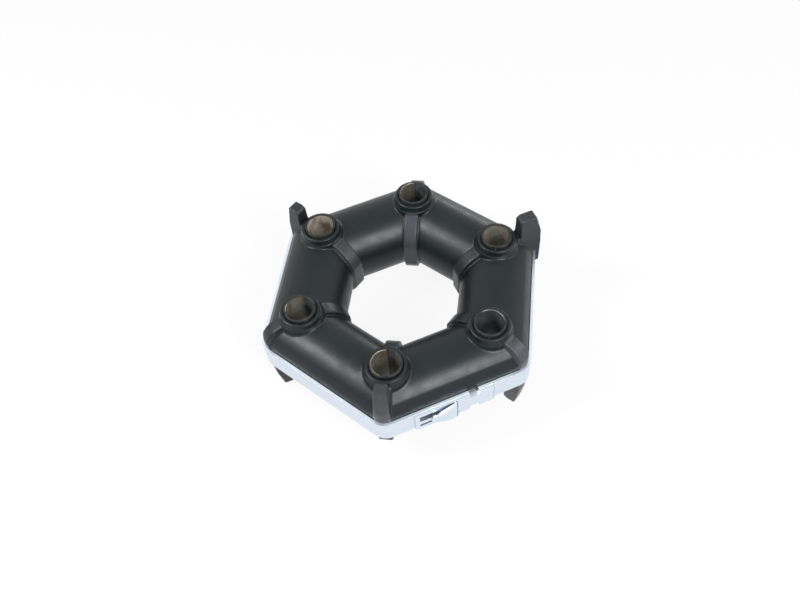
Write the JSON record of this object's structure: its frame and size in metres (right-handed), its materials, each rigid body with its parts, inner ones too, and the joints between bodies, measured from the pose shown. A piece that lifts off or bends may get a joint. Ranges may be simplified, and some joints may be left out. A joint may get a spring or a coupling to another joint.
{
  "type": "driveshaft flex disc",
  "caption": "Hexagonal rubber flex disc for a driveshaft, with steel bolt sleeves bonded in its corners and a steel band folded round the rim.",
  "frame": {"origin": "on the shaft axis, half way through the disc", "axes": "+Z along the shaft, towards the side of the lugs nearest the camera; +Y through the first corner"},
  "size_m": [0.1228, 0.137, 0.0558],
  "materials": {
    "rubber": "satin",
    "zinc_band": "bright zinc",
    "sleeve_steel": "olive passivated",
    "core_steel": "plain"
  },
  "bodies": {
    "root": {"rubber_body": "rubber", "retaining_band": "zinc_band", "sleeve_1": "sleeve_steel", "sleeve_2": "sleeve_steel", "sleeve_3": "sleeve_steel", "sleeve_4": "sleeve_steel", "sleeve_5": "sleeve_steel", "sleeve_6": "sleeve_steel", "insert_1": "core_steel", "insert_2": "core_steel", "insert_3": "core_steel", "insert_4": "core_steel", "insert_5": "core_steel", "insert_6": "core_steel"}
  },
  "joints": []
}
